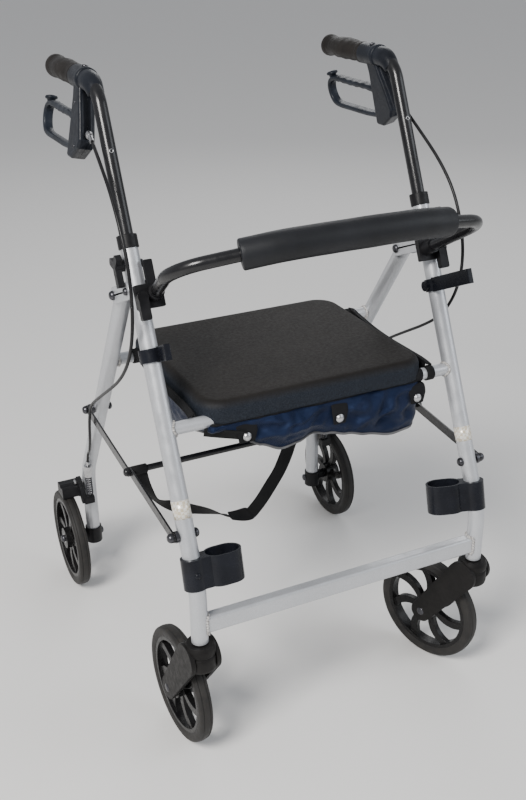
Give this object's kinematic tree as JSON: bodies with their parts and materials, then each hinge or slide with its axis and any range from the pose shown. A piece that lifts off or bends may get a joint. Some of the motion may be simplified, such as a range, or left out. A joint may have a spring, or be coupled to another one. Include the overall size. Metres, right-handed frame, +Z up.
{
  "type": "rollator walker",
  "caption": "Folding four-wheeled walker with swivelling front casters, padded seat tray, bow backrest, cloth bag, height-adjustable handles and loop brakes.",
  "frame": {"origin": "on the floor, under the middle of the walker's overall length and width", "axes": "+Z up; the front, with the casters and the backrest, is -Y; the person walking with it stands at +Y; X is across"},
  "size_m": [0.603, 0.6764, 0.984],
  "materials": {
    "frame_paint": "satin silver-grey paint",
    "black_tube": "gloss black paint",
    "steel": "zinc-plated steel",
    "black_plastic": "satin moulding",
    "gloss_black": "smooth moulding",
    "seat_plastic": "fine grain moulding",
    "grip_rubber": "matte rubber",
    "foam": "soft closed-cell foam",
    "tyre": "dusty dark grey",
    "navy_nylon": "navy woven nylon",
    "black_webbing": "woven webbing",
    "cable_sheath": "smooth sheath"
  },
  "bodies": {
    "front_frame": {"front_leg_left": "frame_paint", "front_leg_right": "frame_paint", "front_crossbar": "frame_paint", "seat_front_tube": "frame_paint", "leg_bushes": "black_plastic", "pivot_plates": "frame_paint", "frame_bolts": "steel", "cane_holders": "gloss_black", "backrest_bar": "black_tube", "backrest_pad": "foam", "backrest_saddles": "black_plastic", "bag": "navy_nylon", "bag_snaps": "steel"},
    "handle_left": {"handle_tube_left": "black_tube", "grip_left": "grip_rubber", "brake_housing_left": "black_plastic", "cable_adjuster_left": "steel"},
    "handle_right": {"handle_tube_right": "black_tube", "grip_right": "grip_rubber", "brake_housing_right": "black_plastic", "cable_adjuster_right": "steel"},
    "lever_left": {"brake_lever_left": "black_plastic"},
    "lever_right": {"brake_lever_right": "black_plastic"},
    "height_knob_left": {"height_knob_left": "black_plastic"},
    "height_knob_right": {"height_knob_right": "black_plastic"},
    "backrest_lock_left": {"backrest_lock_left": "black_plastic"},
    "backrest_lock_right": {"backrest_lock_right": "black_plastic"},
    "rear_frame": {"rear_leg_left": "frame_paint", "rear_leg_right": "frame_paint", "rear_cross_tube": "frame_paint", "rear_foot_caps": "black_plastic", "rear_axles": "steel", "rear_bearings": "steel", "cable_stops": "steel", "rear_link_bolts": "steel", "brake_springs": "steel", "brake_cable_left": "cable_sheath", "brake_cable_right": "cable_sheath"},
    "brake_arm_left": {"brake_arm_left": "black_plastic"},
    "brake_arm_right": {"brake_arm_right": "black_plastic"},
    "rear_wheel_left": {"rear_tyre_left": "tyre", "rear_rim_left": "black_plastic"},
    "rear_wheel_right": {"rear_tyre_right": "tyre", "rear_rim_right": "black_plastic"},
    "caster_left": {"caster_fork_left": "black_plastic", "caster_axle_left": "steel", "caster_bearings_left": "steel"},
    "caster_right": {"caster_fork_right": "black_plastic", "caster_axle_right": "steel", "caster_bearings_right": "steel"},
    "front_wheel_left": {"front_tyre_left": "tyre", "front_rim_left": "black_plastic"},
    "front_wheel_right": {"front_tyre_right": "tyre", "front_rim_right": "black_plastic"},
    "front_links": {"front_links": "black_tube", "folding_rod": "black_tube"},
    "rear_links": {"rear_links": "black_tube"},
    "fold_strap": {"fold_strap": "black_webbing"},
    "seat": {"seat": "seat_plastic", "seat_hinge_clips": "black_plastic"}
  },
  "joints": [
    {"name": "fold", "type": "hinge", "parent": "front_frame", "child": "rear_frame", "pos_m": [0, -0.07124, 0.68], "axis": [-1, 0, 0], "range_deg": [0, 32], "deforming": ["bag", "brake_cable_left", "brake_cable_right"]},
    {"name": "front_link_fold", "type": "hinge", "parent": "front_frame", "child": "front_links", "pos_m": [0, -0.28012, 0.39], "axis": [1, 0, 0], "range_deg": [0, 50]},
    {"name": "rear_link_fold", "type": "hinge", "parent": "rear_frame", "child": "rear_links", "pos_m": [0, 0.1085, 0.42], "axis": [-1, 0, 0], "range_deg": [0, 29.5]},
    {"name": "strap_hang", "type": "hinge", "parent": "front_links", "child": "fold_strap", "pos_m": [0, -0.09824, 0.404], "axis": [-1, 0, 0], "range_deg": [0, 50]},
    {"name": "seat_lift", "type": "hinge", "parent": "front_frame", "child": "seat", "pos_m": [0, -0.21803, 0.525], "axis": [1, 0, 0], "range_deg": [0, 80], "deforming": ["bag"]},
    {"name": "handle_height_left", "type": "slide", "parent": "front_frame", "child": "handle_left", "axis": [0, 0.4179, 0.9085], "range_m": [-0.1, 0.05], "deforming": ["brake_cable_left"]},
    {"name": "brake_squeeze_left", "type": "hinge", "parent": "handle_left", "child": "lever_left", "pos_m": [-0.25588, 0.03276, 0.88188], "axis": [0.9781, 0, -0.2079], "range_deg": [0, 8], "stiffness_Nm_per_rad": 3, "springref_deg": -8.59, "deforming": ["brake_cable_left"]},
    {"name": "brake_press_left", "type": "hinge", "parent": "rear_frame", "child": "brake_arm_left", "pos_m": [0, 0.23876, 0.212], "axis": [-1, 0, 0], "range_deg": [0, 3.2], "deforming": ["brake_cable_left", "brake_springs"]},
    {"name": "height_knob_turn_left", "type": "hinge", "parent": "front_frame", "child": "height_knob_left", "pos_m": [-0.238, -0.11974, 0.7387], "axis": [-1, 0, 0], "continuous": true},
    {"name": "backrest_lock_turn_left", "type": "hinge", "parent": "front_frame", "child": "backrest_lock_left", "pos_m": [-0.2415, -0.14034, 0.69391], "axis": [0, 0.9085, -0.4179], "range_deg": [0, 100]},
    {"name": "rear_wheel_spin_left", "type": "hinge", "parent": "rear_frame", "child": "rear_wheel_left", "pos_m": [-0.281, 0.24526, 0.093], "axis": [1, 0, 0], "continuous": true},
    {"name": "caster_swivel_left", "type": "hinge", "parent": "front_frame", "child": "caster_left", "pos_m": [-0.238, -0.31324, 0.24], "axis": [0, 0, 1], "continuous": true},
    {"name": "front_wheel_spin_left", "type": "hinge", "parent": "caster_left", "child": "front_wheel_left", "pos_m": [-0.24344, -0.23543, 0.093], "axis": [0.9976, 0.0698, 0], "continuous": true},
    {"name": "handle_height_right", "type": "slide", "parent": "front_frame", "child": "handle_right", "axis": [0, 0.4179, 0.9085], "range_m": [-0.1, 0.05], "deforming": ["brake_cable_right"]},
    {"name": "brake_squeeze_right", "type": "hinge", "parent": "handle_right", "child": "lever_right", "pos_m": [0.25588, 0.03276, 0.88188], "axis": [0.9781, 0, 0.2079], "range_deg": [0, 8], "stiffness_Nm_per_rad": 3, "springref_deg": -8.59, "deforming": ["brake_cable_right"]},
    {"name": "brake_press_right", "type": "hinge", "parent": "rear_frame", "child": "brake_arm_right", "pos_m": [0, 0.23876, 0.212], "axis": [-1, 0, 0], "range_deg": [0, 3.2], "deforming": ["brake_cable_right", "brake_springs"]},
    {"name": "height_knob_turn_right", "type": "hinge", "parent": "front_frame", "child": "height_knob_right", "pos_m": [0.238, -0.11974, 0.7387], "axis": [1, 0, 0], "continuous": true},
    {"name": "backrest_lock_turn_right", "type": "hinge", "parent": "front_frame", "child": "backrest_lock_right", "pos_m": [0.2415, -0.14034, 0.69391], "axis": [0, -0.9085, 0.4179], "range_deg": [0, 100]},
    {"name": "rear_wheel_spin_right", "type": "hinge", "parent": "rear_frame", "child": "rear_wheel_right", "pos_m": [0.281, 0.24526, 0.093], "axis": [1, 0, 0], "continuous": true},
    {"name": "caster_swivel_right", "type": "hinge", "parent": "front_frame", "child": "caster_right", "pos_m": [0.238, -0.31324, 0.24], "axis": [0, 0, 1], "continuous": true},
    {"name": "front_wheel_spin_right", "type": "hinge", "parent": "caster_right", "child": "front_wheel_right", "pos_m": [0.21005, -0.24042, 0.093], "axis": [0.9336, 0.3584, 0], "continuous": true}
  ],
  "couplings": [
    {"joint": "front_link_fold", "follows": "fold", "ratio": 1.534},
    {"joint": "rear_link_fold", "follows": "fold", "ratio": 0.897},
    {"joint": "strap_hang", "follows": "fold", "ratio": 1.534},
    {"joint": "seat_lift", "follows": "fold", "ratio": 2.4},
    {"joint": "brake_press_left", "follows": "brake_squeeze_left", "ratio": 0.375},
    {"joint": "brake_press_right", "follows": "brake_squeeze_right", "ratio": 0.375}
  ]
}
